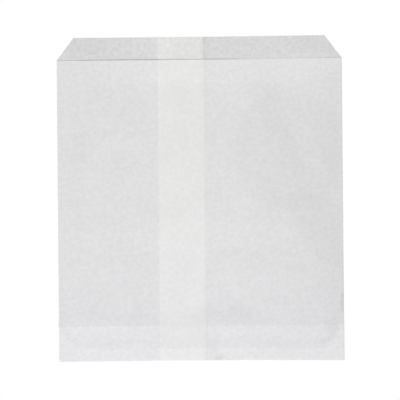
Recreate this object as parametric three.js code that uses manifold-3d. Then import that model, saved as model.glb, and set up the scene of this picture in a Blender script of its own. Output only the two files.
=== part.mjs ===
// A flat paper bag, made from one sheet. The sheet is wrapped into a flattened tube and lapped up the
// back, where a line of glue closes the seam. The bottom is folded up onto the back and glued there.
// Both ends are cut to one stepped outline, so the back stands past the mouth as a lip with cut
// corners, and the front reaches further than the back inside the folded bottom.
// The bag lies on its back on the plane z = 0, mouth towards +Y, in millimetres.
import * as THREE from 'three';
import Module from 'manifold-3d';

// Sizes of the bag
const bagWidth = 200; // from side fold to side fold
const frontDepth = 211; // from the bottom fold to the mouth of the front panel
const lipRise = 16; // how far the back panel stands past the mouth
const lipBevel = 12; // run across of the cut corner at each end of the lip
const bottomFold = 24.5; // depth of the bottom that is folded up onto the back
const lapFromLeftFold = 71; // where the lap seam starts, from the left side fold
const lapWidth = 32; // how far the sheet's two edges overlap in the seam
const paperThickness = 0.06;

// How tightly the paper lies
const plyGap = 0.03; // air between plies that are pressed together
const foldRadius = 0.05; // inner radius of the bottom fold
const mouthGap = 0.35; // how far the two panels part at the middle of the mouth
const bodyLoft = 1.8; // how far the front panel stands up at the middle of the body
const loftRun = 85; // distance from either end over which the front panel reaches its height
const loftSkew = -0.2; // share by which the front panel stands higher on its right, or left if under 0
const lapRamp = 2; // run over which the back panel climbs onto the lap
const flapRamp = 3; // run over which the back panel comes down behind the inner flap
const bottomRamp = 12; // run over which the back panel comes down behind the folded bottom

// Glue
const seamGlueWidth = 8; // line of glue up the middle of the lap
const bottomGlueMargin = 1.5; // bare paper round the glue between the bottom fold and the back
const glueBite = paperThickness / 2; // how deep the glue's solid reaches into the paper on each side

// How finely the curved paper is divided
const panelStep = 16;
const rampSteps = 3;
const sideFoldSteps = 6;
const bottomFoldSteps = 6;
const flapSteps = 3;
const lipSteps = 2;

// Places worked out from the sizes
const halfWidth = bagWidth / 2;
const lapLeft = -halfWidth + lapFromLeftFold;
const lapRight = lapLeft + lapWidth;
const lapLift = paperThickness + plyGap;
const tubeHeight = 3 * paperThickness + 2 * plyGap; // front, back and the lap's second ply, pressed
const sideRadius = tubeHeight / 2;
const foldReach = foldRadius + tubeHeight; // how far the bottom fold bulges past its axis
const foldAxisZ = foldReach;
const foldAxisY = foldReach - (frontDepth + lipRise) / 2;
const mouthLength = frontDepth - foldReach; // front panel, from the fold's axis to the mouth
const flapLength = bottomFold - foldReach; // folded bottom, from the fold's axis to its free edge
const innerFlapLength = flapLength - lipRise; // the back panel's share of the folded bottom
const lipStart = mouthLength - lipRise; // the stepped outline is taken up above this length

const smooth = (t) => THREE.MathUtils.smoothstep(t, 0, 1);

// Values from one end to the other, no further apart than the given step
function spread(from, to, step) {
  const count = Math.max(1, Math.ceil(Math.abs(to - from) / step));
  return Array.from({ length: count + 1 }, (_, i) => THREE.MathUtils.lerp(from, to, i / count));
}

// Values through a list of stops, each stretch with its own step
function spreadThrough(first, ...stretches) {
  const values = [first];
  for (const [to, step] of stretches) values.push(...spread(values.at(-1), to, step).slice(1));
  return values;
}

// The stepped outline: how far the cut edge stands forward at a place across the back panel
function stepCut(x) {
  return lipRise * THREE.MathUtils.clamp((halfWidth - Math.abs(x)) / lipBevel, 0, 1);
}

// Height of the back panel's outer face. It steps over the folded bottom, which lies under it:
// over both plies as far as the inner flap reaches, then over one, then down to the table.
function backHeight(x, length) {
  const flapEnd = flapLength - stepCut(x);
  const overOnePly = lapLift * (1 - smooth((length - flapLength) / bottomRamp));
  const atFold = 2 * foldRadius + tubeHeight;
  const overTwoPlies = (atFold - lapLift) * (1 - smooth((length - flapEnd) / flapRamp));
  return overOnePly + overTwoPlies;
}

// Height of the seam's inner ply above the back panel's outer face
function lapHeight(x) {
  return lapLift * smooth((x - lapLeft + lapRamp) / lapRamp);
}

// How far the front panel stands clear of the pressed tube
function loft(x, length) {
  const across = x / halfWidth;
  const profile = (1 - across ** 2) * (1 + loftSkew * across);
  const fromMouth = smooth((mouthLength - length) / loftRun);
  const height = THREE.MathUtils.lerp(mouthGap, bodyLoft, fromMouth);
  return profile * height * smooth(length / loftRun);
}

// One line along the tube for each place across the sheet. A line knows its own step in the cut
// outline, the step of the back panel at that place, and both faces of the paper: where each lies
// across, and how high it is above the back panel's outer face.
function backLine(x, lift) {
  return {
    cut: stepCut(x),
    backCut: stepCut(x),
    outer: { x, height: () => lift },
    inner: { x, height: () => lift + paperThickness },
  };
}

function frontLine(x) {
  const level = (length) => tubeHeight + loft(x, length);
  return {
    cut: 0,
    backCut: stepCut(x),
    outer: { x, height: level },
    inner: { x, height: (length) => level(length) - paperThickness },
  };
}

function sideFoldLine(side, angle) {
  const face = (radius) => ({
    x: side * (halfWidth - sideRadius + radius * Math.cos(angle)),
    height: () => sideRadius + radius * Math.sin(angle),
  });
  const outer = face(sideRadius);
  return {
    cut: angle < 0 ? stepCut(outer.x) : 0,
    backCut: stepCut(outer.x),
    outer,
    inner: face(sideRadius - paperThickness),
  };
}

// The sheet's lines in order: the seam's inner ply and the left of the back, the left side fold,
// the front, the right side fold, and the right of the back with the seam's outer ply
function sheetLines() {
  const foldX = halfWidth - sideRadius;
  const bevelX = halfWidth - lipBevel;
  const leftBack = spreadThrough(
    lapRight,
    [lapLeft, panelStep],
    [lapLeft - lapRamp, lapRamp / rampSteps],
    [-bevelX, panelStep],
    [-foldX, lipBevel / 2],
  );
  const front = spreadThrough(
    -foldX,
    [-bevelX, lipBevel / 2],
    [lapLeft, panelStep],
    [lapRight, panelStep],
    [bevelX, panelStep],
    [foldX, lipBevel / 2],
  );
  const rightBack = spreadThrough(
    foldX,
    [bevelX, lipBevel / 2],
    [lapRight, panelStep],
    [lapLeft, panelStep],
  );
  const foldAngles = spread(-Math.PI / 2, Math.PI / 2, Math.PI / sideFoldSteps).slice(1, -1);
  return [
    ...leftBack.map((x) => backLine(x, lapHeight(x))),
    ...foldAngles.map((angle) => sideFoldLine(-1, angle)),
    ...front.map((x) => frontLine(x)),
    ...foldAngles.toReversed().map((angle) => sideFoldLine(1, angle)),
    ...rightBack.map((x) => backLine(x, 0)),
  ];
}

// The stations along a line, from the free edge of the folded bottom to the mouth. Each gives a point
// for a face of the paper, so that the same stations serve lines of different lengths.
function flapStation(share) {
  return (line, face) => {
    const height = face.height(0);
    const along = share * (flapLength - line.cut);
    return [face.x, foldAxisY + along, foldAxisZ - foldRadius - height];
  };
}

function foldStation(angle) {
  return (line, face) => {
    const radius = foldRadius + face.height(0);
    return [face.x, foldAxisY - radius * Math.sin(angle), foldAxisZ + radius * Math.cos(angle)];
  };
}

function bodyStation(lengthOn) {
  return (line, face) => {
    const length = lengthOn(line);
    const z = backHeight(face.x, length) + face.height(length);
    return [face.x, foldAxisY + length, z];
  };
}

// Stations up the body from one stop to the next, where a stop is a length on each line
function bodyStations(from, to, steps) {
  return spread(0, 1, 1 / steps).slice(1).map((share) => (
    bodyStation((line) => THREE.MathUtils.lerp(from(line), to(line), share))
  ));
}

function stations() {
  const flapShares = spread(1, 0, 1 / flapSteps);
  const foldAngles = spread(Math.PI, 0, Math.PI / bottomFoldSteps).slice(1);
  const foldAxis = () => 0;
  const innerFlapEnd = (line) => flapLength - line.backCut;
  const innerFlapCleared = (line) => innerFlapEnd(line) + flapRamp;
  const flapEnd = (line) => Math.max(flapLength, innerFlapCleared(line) + flapRamp / rampSteps);
  const onTable = () => flapLength + bottomRamp;
  const bodyEnd = () => lipStart;
  const mouth = (line) => mouthLength + line.cut;
  return [
    ...flapShares.map(flapStation),
    ...foldAngles.map(foldStation),
    ...bodyStations(foldAxis, innerFlapEnd, 1),
    ...bodyStations(innerFlapEnd, innerFlapCleared, rampSteps),
    ...bodyStations(innerFlapCleared, flapEnd, 1),
    ...bodyStations(flapEnd, onTable, rampSteps),
    ...bodyStations(onTable, bodyEnd, Math.ceil((lipStart - onTable()) / panelStep)),
    ...bodyStations(bodyEnd, mouth, lipSteps),
  ];
}

// A closed solid from lines that each have two faces, laid over the given stations
function skinSolid(lines, stationList) {
  const positions = [];
  const index = [];
  for (const side of ['outer', 'inner']) {
    for (const line of lines) {
      for (const station of stationList) positions.push(...station(line, line[side]));
    }
  }
  const rows = stationList.length;
  const last = { line: lines.length - 1, row: rows - 1 };
  const vertex = (side, line, row) => (side * lines.length + line) * rows + row;
  const quad = (a, b, c, d) => index.push(a, c, b, a, d, c);
  for (let i = 0; i < last.line; i += 1) {
    for (let j = 0; j < last.row; j += 1) {
      quad(vertex(0, i, j), vertex(0, i, j + 1), vertex(0, i + 1, j + 1), vertex(0, i + 1, j));
      quad(vertex(1, i, j), vertex(1, i + 1, j), vertex(1, i + 1, j + 1), vertex(1, i, j + 1));
    }
    for (const [j, up] of [[0, true], [last.row, false]]) {
      const edge = [vertex(0, i, j), vertex(0, i + 1, j), vertex(1, i + 1, j), vertex(1, i, j)];
      quad(...(up ? edge : edge.toReversed()));
    }
  }
  for (let j = 0; j < last.row; j += 1) {
    for (const [i, up] of [[0, false], [last.line, true]]) {
      const edge = [vertex(0, i, j), vertex(0, i, j + 1), vertex(1, i, j + 1), vertex(1, i, j)];
      quad(...(up ? edge : edge.toReversed()));
    }
  }
  return { positions, index };
}

// The seam's glue: a thin strip between the two plies of the lap, over the tube's whole length
function seamGlue(stationList) {
  const middle = (lapLeft + lapRight) / 2;
  const line = (x) => ({
    cut: stepCut(x),
    backCut: stepCut(x),
    outer: { x, height: () => paperThickness - glueBite },
    inner: { x, height: () => lapLift + glueBite },
  });
  const lines = [middle + seamGlueWidth / 2, middle - seamGlueWidth / 2].map(line);
  return skinSolid(lines, stationList);
}

// The bottom's glue: a thin sheet between the folded front panel and the back, past the inner flap
function bottomGlue() {
  const reach = halfWidth - lipBevel - bottomGlueMargin;
  const start = innerFlapLength + flapRamp + bottomGlueMargin;
  const end = flapLength - bottomGlueMargin;
  const bottom = paperThickness - glueBite;
  const top = lapLift + glueBite;
  const box = new THREE.BoxGeometry(2 * reach, end - start, top - bottom);
  box.translate(0, foldAxisY + (start + end) / 2, (bottom + top) / 2);
  return box;
}

const wasm = await Module();
wasm.setup();

function toManifold(positions, index) {
  return new wasm.Manifold(new wasm.Mesh({
    numProp: 3,
    vertProperties: Float32Array.from(positions),
    triVerts: Uint32Array.from(index),
  }));
}

function boxToManifold(geometry) {
  const { positions, index } = mergeCorners(geometry);
  return toManifold(positions, index);
}

// A box's corners, shared between its faces
function mergeCorners(geometry) {
  const source = geometry.getAttribute('position');
  const corners = new Map();
  const positions = [];
  const index = Array.from(geometry.index.array, (i) => {
    const corner = [source.getX(i), source.getY(i), source.getZ(i)];
    const key = corner.join();
    if (!corners.has(key)) {
      corners.set(key, corners.size);
      positions.push(...corner);
    }
    return corners.get(key);
  });
  return { positions, index };
}

function toGeometry(solid) {
  const mesh = solid.getMesh();
  const geometry = new THREE.BufferGeometry();
  geometry.setAttribute('position', new THREE.BufferAttribute(mesh.vertProperties, 3));
  geometry.setIndex(new THREE.BufferAttribute(mesh.triVerts, 1));
  geometry.computeVertexNormals();
  return geometry;
}

const stationList = stations();
const sheet = skinSolid(sheetLines(), stationList);
const seam = seamGlue(stationList);
const bag = toManifold(sheet.positions, sheet.index)
  .add(toManifold(seam.positions, seam.index))
  .add(boxToManifold(bottomGlue()));

// Bleached paper
const paper = new THREE.MeshStandardMaterial({ color: 0xdfdfe1, roughness: 0.82, metalness: 0 });

const paperBag = new THREE.Mesh(toGeometry(bag), paper);
paperBag.name = 'paper_bag';

const model = new THREE.Group();
model.add(paperBag);

export default model;
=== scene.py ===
import math
import bpy
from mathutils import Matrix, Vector, noise


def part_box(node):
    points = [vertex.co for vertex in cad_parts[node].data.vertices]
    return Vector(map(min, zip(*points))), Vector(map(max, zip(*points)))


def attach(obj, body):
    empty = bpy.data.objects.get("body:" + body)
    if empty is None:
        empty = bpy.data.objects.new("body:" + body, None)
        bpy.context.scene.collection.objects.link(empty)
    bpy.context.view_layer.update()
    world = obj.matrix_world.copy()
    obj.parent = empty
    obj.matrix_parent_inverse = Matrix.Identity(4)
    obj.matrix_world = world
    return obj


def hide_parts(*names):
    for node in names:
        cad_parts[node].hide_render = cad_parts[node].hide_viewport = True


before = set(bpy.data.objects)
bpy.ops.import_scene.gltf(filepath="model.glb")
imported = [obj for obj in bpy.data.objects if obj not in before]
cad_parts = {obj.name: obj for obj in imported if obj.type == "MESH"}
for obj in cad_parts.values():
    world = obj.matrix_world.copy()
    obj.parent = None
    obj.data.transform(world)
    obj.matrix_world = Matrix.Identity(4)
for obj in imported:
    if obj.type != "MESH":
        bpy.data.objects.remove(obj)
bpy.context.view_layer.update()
mm = 0.001

# The bag, in metres. Its width and whole length come from the frame.
lowCorner, highCorner = (Vector(corner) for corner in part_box("paper_bag"))
bag = {
    "width": highCorner.x - lowCorner.x,
    "length": highCorner.y - lowCorner.y,
    "lipRise": 16 * mm,          # the back panel stands this far past the mouth
    "lipBevel": 12 * mm,         # run of the cut corner at each end of the lip
    "bottomFold": 24.5 * mm,     # folded up onto the back
    "lapFromLeftFold": 71 * mm,
    "lapWidth": 32 * mm,
    "thickness": 0.06 * mm,
    "plyGap": 0.03 * mm,
    "foldRadius": 0.05 * mm,     # inside the bottom fold
    "mouthGap": 0.35 * mm,
    "loft": 1.8 * mm,            # how high the front panel stands in the middle
    "loftRun": 85 * mm,
    "loftSkew": -0.2,            # higher to the left
    "mouthSkew": -0.6,           # and more so at the mouth
    "mouthSlant": 0.0025,        # the mouth and the lip are cut a little out of square
    "mouthBow": 0.3 * mm,        # and this much further out at the side folds
    "foldSlant": 0.0024,         # and the bottom is folded so too
    "foldBow": 0.5 * mm,
    "lapRamp": 2 * mm,
    "flapRamp": 3 * mm,
    "frontRamp": 8 * mm,         # the front panel eases over the folded bottom more softly
    "bottomRamp": 12 * mm,
    "cell": 2.2 * mm,            # mesh size of the open panels
    "creaseSteps": 8,
    "smoothAngle": 35,           # degrees, past which an edge stays sharp
}

halfWidth = bag["width"] / 2
lapLeft = -halfWidth + bag["lapFromLeftFold"]
lapRight = lapLeft + bag["lapWidth"]
lapLift = bag["thickness"] + bag["plyGap"]
tubeHeight = 3 * bag["thickness"] + 2 * bag["plyGap"]
sideRadius = tubeHeight / 2
sideMiddle = sideRadius - bag["thickness"] / 2      # radius to the middle of the paper
sideArc = math.pi * sideMiddle
sideStart = halfWidth - sideRadius                  # where each side crease begins
foldReach = bag["foldRadius"] + tubeHeight
foldAxisY = lowCorner.y + foldReach
mouthLength = bag["length"] - bag["lipRise"] - foldReach
lipLength = mouthLength + bag["lipRise"]
flapLength = bag["bottomFold"] - foldReach
foldAllowance = math.pi * (foldReach - bag["thickness"] / 2)
mouthY = foldAxisY + mouthLength
flapEndY = foldAxisY + flapLength


def smooth(t):
    t = min(max(t, 0), 1)
    return t * t * (3 - 2 * t)


# The camera looks straight down, turned by the small tilt of the bag in the picture
shot = {
    "lens": 100,
    "sensor": 36,
    "frameWidth": 280.6 * mm,
    "aim": (-0.22 * mm, -0.97 * mm),
    "turn": -0.51,           # degrees
    "clipStart": 0.01,
}


def addCamera():
    distance = shot["frameWidth"] * shot["lens"] / shot["sensor"]
    bpy.ops.object.camera_add(
        location=(*shot["aim"], distance), rotation=(0, 0, math.radians(shot["turn"])))
    camera = bpy.context.object
    camera.name = "camera"
    camera.data.lens = shot["lens"]
    camera.data.sensor_width = shot["sensor"]
    camera.data.clip_start = shot["clipStart"]
    bpy.context.scene.camera = camera


light = {
    "worldStrength": 0.46,
    "backdrop": 1,           # white to the camera
    "sunStrength": 2.92,
    "sunAngle": 42,          # degrees across, for soft shadows
    "sunTilt": 55,           # degrees from overhead
    "sunFrom": 215,          # degrees round from +X
    "sunPlace": (-0.5, -0.3, 0.6),
}


def seenRays(tree):
    # 1 for what the camera sees, in gloss and through glass too
    rays = tree.nodes.new("ShaderNodeLightPath")
    seen = rays.outputs["Is Camera Ray"]
    for kind in ("Is Glossy Ray", "Is Transmission Ray"):
        node = tree.nodes.new("ShaderNodeMath")
        node.operation = "MAXIMUM"
        tree.links.new(seen, node.inputs[0])
        tree.links.new(rays.outputs[kind], node.inputs[1])
        seen = node.outputs[0]
    return seen


def addLight():
    tilt = math.radians(light["sunTilt"])
    turn = math.radians(light["sunFrom"] + 90)
    bpy.ops.object.light_add(type="SUN", location=light["sunPlace"], rotation=(tilt, 0, turn))
    sun = bpy.context.object
    sun.name = "softSun"
    sun.data.energy = light["sunStrength"]
    sun.data.angle = math.radians(light["sunAngle"])
    world = bpy.data.worlds.new("studio")
    world.use_nodes = True
    tree = world.node_tree
    soft = tree.nodes["Background"]
    soft.inputs["Color"].default_value = (1, 1, 1, 1)
    soft.inputs["Strength"].default_value = light["worldStrength"]
    backdrop = tree.nodes.new("ShaderNodeBackground")
    backdrop.inputs["Color"].default_value = (1, 1, 1, 1)
    backdrop.inputs["Strength"].default_value = light["backdrop"]
    mix = tree.nodes.new("ShaderNodeMixShader")
    tree.links.new(seenRays(tree), mix.inputs["Fac"])
    tree.links.new(soft.outputs[0], mix.inputs[1])
    tree.links.new(backdrop.outputs[0], mix.inputs[2])
    tree.links.new(mix.outputs[0], tree.nodes["World Output"].inputs["Surface"])
    bpy.context.scene.world = world


# Lines of the flat blank: u runs across it from the middle of the front panel, v from the bottom fold
# towards the mouth. The left of the blank becomes the left of the back, and the seam's inner ply.
blankLeft = -(sideStart + sideArc + sideStart + lapRight)
blankRight = sideStart + sideArc + sideStart - lapLeft
blankBottom = -(flapLength + foldAllowance)
bevelStart = sideStart + sideArc / 2                # the cut corners run from the side fold
bevelEnd = bevelStart + sideArc / 2 + bag["lipBevel"] - sideRadius
cutThreshold = 1e-8                                 # metres, far under the paper's thickness


def deselect():
    if bpy.context.mode != "OBJECT":
        bpy.ops.object.mode_set(mode="OBJECT")
    bpy.ops.object.select_all(action="DESELECT")


def cutBlank(point, normal):
    bpy.ops.mesh.bisect(plane_co=point, plane_no=normal, threshold=cutThreshold)


def selectFaces(piece, test):
    bpy.ops.mesh.select_mode(type="FACE")
    bpy.ops.mesh.select_all(action="DESELECT")
    bpy.ops.object.mode_set(mode="OBJECT")
    for face in piece.data.polygons:
        face.select = test(face.center)
    bpy.ops.object.mode_set(mode="EDIT")


def backU(x, side):
    # Where a place on the back panel lies across the blank
    return side * (sideStart + sideArc + sideStart) - x


def makeBlank():
    width = blankRight - blankLeft
    depth = lipLength - blankBottom
    bpy.ops.mesh.primitive_grid_add(
        x_subdivisions=round(width / bag["cell"]), y_subdivisions=round(depth / bag["cell"]), size=1)
    blank = bpy.context.object
    blank.name = "foldedBag"
    bpy.ops.object.mode_set(mode="EDIT")
    bpy.ops.mesh.select_all(action="SELECT")
    bpy.ops.transform.resize(value=(width, depth, 1))
    bpy.ops.transform.translate(
        value=((blankLeft + blankRight) / 2, (blankBottom + lipLength) / 2, 0))
    # Creases and the edges of hidden plies
    acrossLines = [lapLeft, lapRight, backU(lapLeft, -1), backU(lapLeft - bag["lapRamp"], -1)]
    for side in (-1, 1):
        acrossLines += [side * (sideStart + sideArc * k / bag["creaseSteps"])
                        for k in range(bag["creaseSteps"] + 1)]
        acrossLines += [side * (halfWidth - bag["lipBevel"]), side * bevelStart, side * bevelEnd]
    flapStep = flapLength - bag["lipRise"]
    alongLines = [mouthLength, blankBottom + bag["lipRise"]]
    alongLines += [-foldAllowance * k / bag["creaseSteps"] for k in range(bag["creaseSteps"] + 1)]
    alongLines += [flapStep, flapStep + bag["flapRamp"], flapLength]
    for u in acrossLines:
        bpy.ops.mesh.select_all(action="SELECT")
        cutBlank((u, 0, 0), (1, 0, 0))
    for v in alongLines:
        bpy.ops.mesh.select_all(action="SELECT")
        cutBlank((0, v, 0), (0, 1, 0))
    return blank


def outsideBlank(u, v):
    # True past the stepped outline, which both ends of the blank share
    reach = min(max((abs(u) - bevelStart) / (bevelEnd - bevelStart), 0), 1) * bag["lipRise"]
    return v > mouthLength + reach or v < blankBottom + reach


def cutOutline(blank):
    slope = bag["lipRise"] / (bevelEnd - bevelStart)
    for start in (mouthLength, blankBottom):
        for side in (-1, 1):
            selectFaces(blank, lambda c: abs(c.y - start) < 2 * bag["lipRise"]
                        and bevelStart < side * c.x < bevelEnd)
            cutBlank((side * bevelStart, start, 0), Vector((-side * slope, 1, 0)).normalized())
    selectFaces(blank, lambda c: outsideBlank(c.x, c.y))
    bpy.ops.mesh.delete(type="FACE")
    bpy.ops.object.mode_set(mode="OBJECT")


def stepCut(x):
    return bag["lipRise"] * min(max((halfWidth - abs(x)) / bag["lipBevel"], 0), 1)


def backHeight(x, length, ramp):
    # The back panel steps over the folded bottom that lies under it
    flapEnd = flapLength - stepCut(x)
    overOnePly = lapLift * (1 - smooth((length - flapLength) / bag["bottomRamp"]))
    atFold = 2 * bag["foldRadius"] + tubeHeight
    overTwoPlies = (atFold - lapLift) * (1 - smooth((length - flapEnd) / ramp))
    return overOnePly + overTwoPlies


relief = {
    "lapEmboss": 0.03 * mm,      # the front panel rises this much over the seam
    "foldEmboss": 0.06 * mm,     # and this much more over the folded bottom
    "embossRun": 1.2 * mm,
    "waveHeight": 0.22 * mm,     # slow waves of the front panel
    "waveSize": 62 * mm,
    "waveSquash": 0.8,           # waves run longer up the bag than across it
    "waveFrom": (3.1, 1.7, 0.5),
    "cockleHeight": 0.035 * mm,  # small cockles of thin paper
    "cockleSize": 17 * mm,
    "cockleFrom": (9.2, 4.6, 6.4706),
    "upShare": 0.6,              # both mostly stand up from the panel
    "edgeRun": 14 * mm,          # the waves fade towards the creases
    "curlHeight": 0.02 * mm,     # the seam's free edge lifts on the lip
    "curlRun": 3 * mm,
    "curlRise": 8 * mm,          # from nothing at the mouth to all of it here
    "dentRise": 3 * mm,          # and the dents likewise from the fold
}

# Places where the paper bends by itself: centre, reach each way, turn in degrees, height
dents = [
    {"at": (-62 * mm, 98 * mm), "reach": (36 * mm, 16 * mm), "turn": 0, "height": 0.06 * mm},
    {"at": (45 * mm, 98 * mm), "reach": (38 * mm, 18 * mm), "turn": 0, "height": -0.24 * mm},
    {"at": (94 * mm, 97 * mm), "reach": (5 * mm, 9 * mm), "turn": 0, "height": 0.10 * mm},
    {"at": (71 * mm, 32 * mm), "reach": (9 * mm, 62 * mm), "turn": 24, "height": -0.22 * mm},
    {"at": (14 * mm, -109.5 * mm), "reach": (5 * mm, 2.2 * mm), "turn": 0, "height": -0.10 * mm},
    {"at": (92 * mm, -95 * mm), "reach": (4 * mm, 12 * mm), "turn": -40, "height": -0.06 * mm},
]


def dentHeight(x, y):
    total = 0
    for dent in dents:
        turn = math.radians(dent["turn"])
        dx, dy = x - dent["at"][0], y - dent["at"][1]
        across = (dx * math.cos(turn) + dy * math.sin(turn)) / dent["reach"][0]
        along = (-dx * math.sin(turn) + dy * math.cos(turn)) / dent["reach"][1]
        total += dent["height"] * math.exp(-across ** 2 - along ** 2)
    return total


def loft(x, length):
    across = x / halfWidth
    fromMouth = smooth((mouthLength - length) / bag["loftRun"])
    skew = bag["mouthSkew"] + (bag["loftSkew"] - bag["mouthSkew"]) * fromMouth
    height = bag["mouthGap"] + (bag["loft"] - bag["mouthGap"]) * fromMouth
    return (1 - across ** 2) * (1 + skew * across) * height * smooth(length / bag["loftRun"])


def waves(x, length):
    y = foldAxisY + length
    slowPlace = Vector((x, y * relief["waveSquash"], 0)) / relief["waveSize"]
    slow = noise.noise(slowPlace + Vector(relief["waveFrom"]))
    small = noise.noise(Vector((x, y, 0)) / relief["cockleSize"] + Vector(relief["cockleFrom"]))
    edge = smooth((halfWidth - abs(x)) / relief["edgeRun"])
    ends = smooth(length / relief["edgeRun"]) * smooth((mouthLength - length) / relief["edgeRun"])
    over = smooth((x - lapLeft) / relief["embossRun"]) * smooth((lapRight - x) / relief["embossRun"])
    up = relief["upShare"]
    moved = relief["waveHeight"] * (up + slow) + relief["cockleHeight"] * (up + small)
    foldShare = smooth((flapLength - length) / relief["embossRun"])
    foldShare *= smooth(length / relief["embossRun"])
    emboss = relief["lapEmboss"] * smooth(length / relief["edgeRun"]) + relief["foldEmboss"] * foldShare
    return moved * edge * ends + emboss * over


def foldPoint(u, v):
    # From the flat blank to the folded bag: across the tube first, then round the bottom fold
    side = 1 if u > 0 else -1
    past = abs(u) - sideStart
    half = bag["thickness"] / 2
    length = max(v, 0)
    ramp = bag["flapRamp"]
    if past <= 0:
        ramp += (bag["frontRamp"] - ramp) * smooth(-past / bag["frontRamp"])
        x = u
        lift = tubeHeight - half + loft(x, length) + waves(x, length)
        lift += dentHeight(x, foldAxisY + length) * smooth(length / relief["dentRise"])
    elif past <= sideArc:
        angle = math.pi / 2 - past / sideMiddle
        x = side * (sideStart + sideMiddle * math.cos(angle))
        lift = sideRadius + sideMiddle * math.sin(angle)
    else:
        x = side * (sideStart - (past - sideArc))
        lift = half
        if side < 0:
            lift += lapLift * smooth((x - lapLeft + bag["lapRamp"]) / bag["lapRamp"])
            curl = smooth((x - lapRight + relief["curlRun"]) / relief["curlRun"])
            lift += relief["curlHeight"] * curl * smooth((v - mouthLength) / relief["curlRise"])
    atMouth = smooth(v / mouthLength)
    rise = bag["mouthSlant"] * x + bag["mouthBow"] * (x / halfWidth) ** 2
    sag = bag["foldSlant"] * x + bag["foldBow"] * (x / halfWidth) ** 2
    axisY = foldAxisY + rise * atMouth - sag * (1 - atMouth)
    if v >= 0:
        return Vector((x, axisY + v, backHeight(x, v, ramp) + lift))
    radius = bag["foldRadius"] + lift
    angle = -v / radius
    if angle <= math.pi:
        return Vector((x, axisY - radius * math.sin(angle), foldReach + radius * math.cos(angle)))
    return Vector((x, axisY - v - math.pi * radius, foldReach - radius))


def foldBlank(blank):
    for corner in blank.data.vertices:
        corner.co = foldPoint(corner.co.x, corner.co.y)
    blank.data.update()


def thicken(blank):
    solidify = blank.modifiers.new("paperThickness", "SOLIDIFY")
    solidify.thickness = bag["thickness"]
    solidify.offset = 0
    solidify.use_even_offset = True
    solidify.use_rim = True
    bpy.ops.object.modifier_apply(modifier=solidify.name)
    bpy.ops.object.shade_smooth_by_angle(angle=math.radians(bag["smoothAngle"]))


# Bleached paper. One sheet over a white ground gives the first value, and each further ply takes up
# a share of what is left towards the second.
paper = {
    "oneSheet": 0.687,
    "manySheets": 0.823,
    "plyShare": 0.5,
    "tint": (1.0, 0.999, 1.001),       # at the mouth
    "tintGain": 0.02,                  # more blue by the bottom
    "lapTint": (1.0, 1.0, 0.984),
    "bodyShade": 0.013,                # painted shade beside the seam, a little darker
    "leftShade": 0.017,                # and more so to the left
    "leftFrom": -30 * mm,
    "leftRun": 25 * mm,
    "rightShade": 0.020,               # and to the right
    "rightFrom": 25 * mm,
    "rightRun": 45 * mm,
    "foldShade": 0.001,                # painted shade of the whole folded bottom
    "seamShade": 0.014,                # of its upper part, where the seam passes
    "creaseShade": 0.09,               # painted shade on the round of the fold
    "edgeBlur": 0.35 * mm,             # of the plies that lie under the front
    "mouthBlur": 0.01 * mm,
    "mottle": 0.20,                    # small uneven spots, and broad ones
    "mottleSize": 2.6 * mm,
    "mottleDetail": 3,
    "cloud": 0.05,
    "cloudSize": 22 * mm,
    "cloudDetail": 1,
    "lipMottle": 0.6,                  # the single sheet is this much more uneven
    "lapMottle": -0.25,                # and the lap less
    "warp": 14 * mm,                   # ragged outlines of the shades below
    "warpSize": 34 * mm,
    "warpDetail": 3,
    "roughness": 0.78,
    "specular": 0.25,
    "grain": 0.012 * mm,
    "grainStrength": 0.5,
    "grainSize": 0.45 * mm,
    "grainDetail": 4,
}

# A patch of shade is whole inside the first share of its reach and gone at the second
softOutline = (0.5, 1.3)
contactOutline = (0.86, 1.06)
firmShadeOutline = (0.6, 1.1)

# Painted shade and light fitted to the main view, where the plies seem to touch, crease or lie apart:
# centre and reach each way in mm, turn in degrees and darkness, which is below nothing for painted
# light
bodyShades = [
    {"at": (-97, 20), "reach": (19, 90), "turn": 0, "shade": 0.026},
    {"at": (3, 97), "reach": (112, 18), "turn": 0, "shade": -0.034},
    {"at": (97, -10), "reach": (20, 105), "turn": 0, "shade": 0.012},
    {"at": (90, -76), "reach": (24, 20), "turn": 0, "shade": 0.014},
    {"at": (-45, 88), "reach": (22, 14), "turn": 0, "shade": -0.013},
    {"at": (1, -26), "reach": (84, 11), "turn": 0, "shade": -0.022},
    {"at": (21, 77), "reach": (14, 16), "turn": 0, "shade": -0.015},
    {"at": (65, 82), "reach": (14, 12), "turn": 0, "shade": -0.012},
    {"at": (15, -81), "reach": (26, 8), "turn": 0, "shade": 0.030},
    {"at": (-81, -91), "reach": (28, 6), "turn": 0, "shade": -0.015},
    {"at": (8, -103), "reach": (5, 9), "turn": 0, "shade": 0.030},
    {"at": (0, -85.5), "reach": (125, 4.5), "turn": 0, "shade": 0.008},
    {"at": (-13, -84), "reach": (19, 9), "turn": 0, "shade": 0.008},
    {"at": (92.5, -92.5), "reach": (4, 6), "turn": 0, "shade": 0.042},
    {"at": (88, -100), "reach": (6, 2.5), "turn": 25, "shade": 0.040},
]
# Painted shade where the front seems to lie close on the back, with a firmer outline
contactShades = [
    {"at": (62, 34), "reach": (39, 46), "turn": 0, "shade": 0.022},
    {"at": (89, -22), "reach": (36, 19), "turn": -44, "shade": 0.024},
]
# Painted shade and light on the lip, with a painted shadow beside the seam's free edge
lipShades = [
    {"at": (-85, 110), "reach": (24, 9), "turn": 0, "shade": 0.035},
    {"at": (-32, 108), "reach": (15, 12), "turn": 0, "shade": -0.034},
    {"at": (82, 110), "reach": (22, 8), "turn": 0, "shade": 0.030},
    {"at": (95, 102), "reach": (10, 6), "turn": 0, "shade": 0.030},
    {"at": (4.5, 106), "reach": (3.4, 16), "turn": 0, "shade": 0.034},
]
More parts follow.
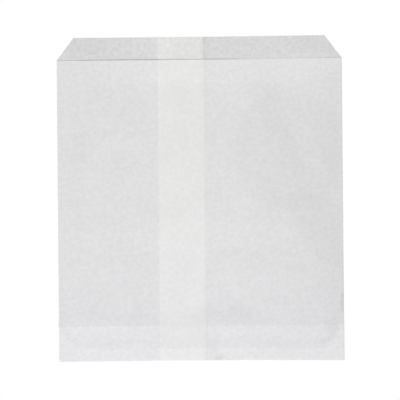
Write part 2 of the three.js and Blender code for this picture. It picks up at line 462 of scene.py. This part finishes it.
# Small painted shades with firm outlines: along the right side fold, a painted shadow beside the seam's
# edge over the folded bottom and a painted highlight on its cut edge on the lip, with a dark smudge by
# the bottom fold
firmShadesAndMarks = [
    {"at": (99.3, -73), "reach": (2.0, 8.5), "turn": 0, "shade": 0.10},
    {"at": (99.7, -56), "reach": (0.9, 10), "turn": 0, "shade": 0.05},
    {"at": (12.2, -111.3), "reach": (3.6, 2.6), "turn": 0, "shade": 0.060},
    {"at": (6, -112.4), "reach": (9, 1.2), "turn": 0, "shade": 0.030},
    {"at": (3.9, -99), "reach": (0.8, 16), "turn": 0, "shade": 0.035},
    {"at": (3.1, 106), "reach": (0.7, 8), "turn": 0, "shade": -0.030},
]


def nodeTools(tree, place):
    # Short ways to add the nodes that the paper repeats
    def combine(operation, a, b=None, clamp=False):
        node = tree.nodes.new("ShaderNodeMath")
        node.operation = operation
        node.use_clamp = clamp
        for socket, value in zip(node.inputs, (a, b)):
            if value is None:
                continue
            if isinstance(value, (int, float)):
                socket.default_value = value
            else:
                tree.links.new(value, socket)
        return node.outputs[0]

    def below(value, limit, blur):
        # 1 where value is under limit, with a soft edge
        node = tree.nodes.new("ShaderNodeMapRange")
        node.interpolation_type = "SMOOTHSTEP"
        node.inputs["From Min"].default_value = -blur
        node.inputs["From Max"].default_value = blur
        node.inputs["To Min"].default_value = 1
        node.inputs["To Max"].default_value = 0
        tree.links.new(combine("SUBTRACT", value, limit), node.inputs["Value"])
        return node.outputs[0]

    def noiseAt(size, detail, output="Fac"):
        node = tree.nodes.new("ShaderNodeTexNoise")
        node.inputs["Scale"].default_value = 1 / size
        node.inputs["Detail"].default_value = detail
        tree.links.new(place, node.inputs["Vector"])
        return node.outputs[output]

    def shades(patches, where, outline):
        # The shade of all the patches, each an oval with a soft outline
        total = 0
        for patch in patches:
            fit = tree.nodes.new("ShaderNodeMapping")
            fit.vector_type = "TEXTURE"
            fit.inputs["Location"].default_value = (patch["at"][0] * mm, patch["at"][1] * mm, 0)
            fit.inputs["Rotation"].default_value = (0, 0, math.radians(patch["turn"]))
            fit.inputs["Scale"].default_value = (patch["reach"][0] * mm, patch["reach"][1] * mm, 1)
            tree.links.new(where, fit.inputs["Vector"])
            away = tree.nodes.new("ShaderNodeVectorMath")
            away.operation = "LENGTH"
            tree.links.new(fit.outputs[0], away.inputs[0])
            fade = tree.nodes.new("ShaderNodeMapRange")
            fade.interpolation_type = "SMOOTHSTEP"
            tree.links.new(away.outputs["Value"], fade.inputs["Value"])
            fade.inputs["From Min"].default_value = outline[0]
            fade.inputs["From Max"].default_value = outline[1]
            fade.inputs["To Min"].default_value = patch["shade"]
            fade.inputs["To Max"].default_value = 0
            total = combine("ADD", fade.outputs[0], total)
        return total

    return combine, below, noiseAt, shades


def paperZones(combine, below, x, y):
    # Where each ply and crease of the folded bag lies: 1 inside and 0 outside
    blur = paper["edgeBlur"]

    def bowed(slant, bow):
        # How far a line across the bag lies out of square at x
        curve = combine("MULTIPLY", x, bow / halfWidth ** 2)
        return combine("MULTIPLY", x, combine("ADD", curve, slant))

    rise = bowed(bag["mouthSlant"], bag["mouthBow"])
    fromFold = combine("ADD", y, bowed(bag["foldSlant"], bag["foldBow"]))
    fromSide = combine("SUBTRACT", halfWidth, combine("ABSOLUTE", x))
    cutShare = combine("DIVIDE", fromSide, bag["lipBevel"], clamp=True)
    cut = combine("MULTIPLY", cutShare, bag["lipRise"])
    body = below(combine("SUBTRACT", y, rise), mouthY, paper["mouthBlur"])
    pastLeft = combine("SUBTRACT", 1, below(x, lapLeft, blur))
    return {
        "body": body,
        "lip": combine("SUBTRACT", 1, body),
        "lap": combine("MULTIPLY", below(x, lapRight, blur), pastLeft),
        "flap": below(fromFold, flapEndY, blur),
        "innerFlap": below(combine("ADD", fromFold, cut), flapEndY, blur),
        "crease": below(fromFold, foldAxisY, foldReach / 2),
    }


def paperLevel(combine, noiseAt, zones):
    # How light the plies make the paper, with its mottle and clouds
    through = 1
    innerLap = combine("MULTIPLY", zones["lap"], zones["innerFlap"])
    for ply in (zones["body"], zones["lap"], zones["flap"], zones["innerFlap"], innerLap):
        passed = combine("SUBTRACT", 1, combine("MULTIPLY", ply, paper["plyShare"]))
        through = combine("MULTIPLY", passed, through)
    span = paper["manySheets"] - paper["oneSheet"]
    level = combine("SUBTRACT", paper["manySheets"], combine("MULTIPLY", through, span))

    def around(kind):
        fromMiddle = combine("SUBTRACT", noiseAt(paper[kind + "Size"], paper[kind + "Detail"]), 0.5)
        return combine("MULTIPLY", fromMiddle, paper[kind])

    onLip = combine("MULTIPLY", zones["lip"], paper["lipMottle"])
    onLap = combine("MULTIPLY", zones["lap"], paper["lapMottle"])
    uneven = combine("ADD", 1, combine("ADD", onLip, onLap))
    mottle = combine("MULTIPLY", around("mottle"), uneven)
    return combine("MULTIPLY", level, combine("ADD", 1, combine("ADD", mottle, around("cloud"))))


def raggedPlace(tree, noiseAt, place):
    # The place moved about a little, which gives the patches of shade ragged outlines
    middle = tree.nodes.new("ShaderNodeVectorMath")
    middle.operation = "SUBTRACT"
    tree.links.new(noiseAt(paper["warpSize"], paper["warpDetail"], "Color"), middle.inputs[0])
    middle.inputs[1].default_value = (0.5, 0.5, 0.5)
    warped = tree.nodes.new("ShaderNodeVectorMath")
    warped.operation = "MULTIPLY_ADD"
    tree.links.new(middle.outputs[0], warped.inputs[0])
    warped.inputs[1].default_value = (paper["warp"], paper["warp"], 0)
    tree.links.new(place, warped.inputs[2])
    return warped.outputs[0]


def paperShade(combine, shades, zones, x, place, ragged):
    # Painted shade and painted light: how much darker each place is than its plies alone make it
    pastRight = combine("SUBTRACT", x, paper["rightFrom"])
    toRight = combine("DIVIDE", pastRight, paper["rightRun"], clamp=True)
    pastLeft = combine("SUBTRACT", paper["leftFrom"], x)
    toLeft = combine("DIVIDE", pastLeft, paper["leftRun"], clamp=True)
    leftAbove = combine("MULTIPLY", toLeft, combine("SUBTRACT", 1, zones["flap"]))
    onRight = combine("MULTIPLY", toRight, paper["rightShade"])
    onLeft = combine("MULTIPLY", leftAbove, paper["leftShade"])
    beside = combine("ADD", combine("ADD", onRight, onLeft), paper["bodyShade"])
    besideLap = combine("MULTIPLY", zones["body"], combine("SUBTRACT", 1, zones["lap"]))
    outerFlap = combine("SUBTRACT", zones["flap"], zones["innerFlap"])
    patches = combine("ADD", shades(bodyShades, ragged, softOutline),
                      shades(contactShades, ragged, contactOutline))
    parts = [
        combine("MULTIPLY", beside, besideLap),
        combine("MULTIPLY", zones["flap"], paper["foldShade"]),
        combine("MULTIPLY", combine("MULTIPLY", zones["lap"], outerFlap), paper["seamShade"]),
        combine("MULTIPLY", zones["crease"], paper["creaseShade"]),
        combine("MULTIPLY", patches, zones["body"]),
        combine("MULTIPLY", shades(lipShades, ragged, softOutline), zones["lip"]),
        shades(firmShadesAndMarks, place, firmShadeOutline),
    ]
    shade = parts[0]
    for part in parts[1:]:
        shade = combine("ADD", shade, part)
    return shade


def paperMaterial():
    material = bpy.data.materials.new("bleachedPaper")
    material.use_nodes = True
    tree = material.node_tree
    shader = tree.nodes["Principled BSDF"]
    place = tree.nodes.new("ShaderNodeTexCoord").outputs["Object"]
    split = tree.nodes.new("ShaderNodeSeparateXYZ")
    tree.links.new(place, split.inputs[0])
    x, y = split.outputs["X"], split.outputs["Y"]

    combine, below, noiseAt, shades = nodeTools(tree, place)
    zones = paperZones(combine, below, x, y)
    ragged = raggedPlace(tree, noiseAt, place)
    shade = paperShade(combine, shades, zones, x, place, ragged)
    level = paperLevel(combine, noiseAt, zones)
    level = combine("MULTIPLY", level, combine("SUBTRACT", 1, shade))

    # The lap is a little creamier, and the paper cooler towards the bottom
    tint = tree.nodes.new("ShaderNodeMix")
    tint.data_type = "RGBA"
    tint.inputs["A"].default_value = (*paper["tint"], 1)
    tint.inputs["B"].default_value = (*paper["lapTint"], 1)
    tree.links.new(zones["lap"], tint.inputs["Factor"])
    toBottom = combine("DIVIDE", combine("SUBTRACT", mouthY, y), bag["length"], clamp=True)
    cool = tree.nodes.new("ShaderNodeCombineXYZ")
    tree.links.new(combine("MULTIPLY", toBottom, paper["tintGain"]), cool.inputs["Z"])
    tinted = tree.nodes.new("ShaderNodeVectorMath")
    tree.links.new(tint.outputs["Result"], tinted.inputs[0])
    tree.links.new(cool.outputs[0], tinted.inputs[1])
    colour = tree.nodes.new("ShaderNodeVectorMath")
    colour.operation = "SCALE"
    tree.links.new(tinted.outputs[0], colour.inputs[0])
    tree.links.new(level, colour.inputs["Scale"])
    tree.links.new(colour.outputs[0], shader.inputs["Base Color"])

    grain = tree.nodes.new("ShaderNodeBump")
    grain.inputs["Strength"].default_value = paper["grainStrength"]
    grain.inputs["Distance"].default_value = paper["grain"]
    tree.links.new(noiseAt(paper["grainSize"], paper["grainDetail"]), grain.inputs["Height"])
    tree.links.new(grain.outputs["Normal"], shader.inputs["Normal"])
    shader.inputs["Roughness"].default_value = paper["roughness"]
    shader.inputs["Specular IOR Level"].default_value = paper["specular"]
    return material


floorPlan = {
    "size": 6,                 # metres
    "below": 0.02 * mm,        # clear of the paper
    "colour": 0.9,
    "glow": 1.03,
    "glowShare": 0.8,          # the rest of the floor's white is lit, so that it takes the shadow
}


def floorMaterial():
    material = bpy.data.materials.new("whiteFloor")
    material.use_nodes = True
    tree = material.node_tree
    tree.nodes.remove(tree.nodes["Principled BSDF"])
    matte = tree.nodes.new("ShaderNodeBsdfDiffuse")
    matte.inputs["Color"].default_value = (floorPlan["colour"],) * 3 + (1,)
    glow = tree.nodes.new("ShaderNodeEmission")
    glow.inputs["Color"].default_value = (1, 1, 1, 1)
    glow.inputs["Strength"].default_value = floorPlan["glow"]
    share = tree.nodes.new("ShaderNodeMath")
    share.operation = "MULTIPLY"
    share.inputs[1].default_value = floorPlan["glowShare"]
    tree.links.new(seenRays(tree), share.inputs[0])
    mix = tree.nodes.new("ShaderNodeMixShader")
    tree.links.new(share.outputs[0], mix.inputs["Fac"])
    tree.links.new(matte.outputs[0], mix.inputs[1])
    tree.links.new(glow.outputs[0], mix.inputs[2])
    tree.links.new(mix.outputs[0], tree.nodes["Material Output"].inputs["Surface"])
    return material


def addFloor():
    bpy.ops.mesh.primitive_plane_add(
        size=floorPlan["size"], location=(0, 0, lowCorner.z - floorPlan["below"]))
    floor = bpy.context.object
    floor.name = "floor"
    floor.data.materials.append(floorMaterial())
    bpy.ops.object.transform_apply(location=True, rotation=True, scale=True)


deselect()
addCamera()
addLight()
print("camera and light placed")

addFloor()
deselect()
foldedBag = makeBlank()
cutOutline(foldedBag)
print("blank cut", len(foldedBag.data.polygons))

foldBlank(foldedBag)
thicken(foldedBag)
foldedBag.data.materials.append(paperMaterial())
print("bag folded", len(foldedBag.data.polygons))

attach(foldedBag, "root")
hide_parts("paper_bag")

bpy.context.scene.view_settings.view_transform = "Standard"
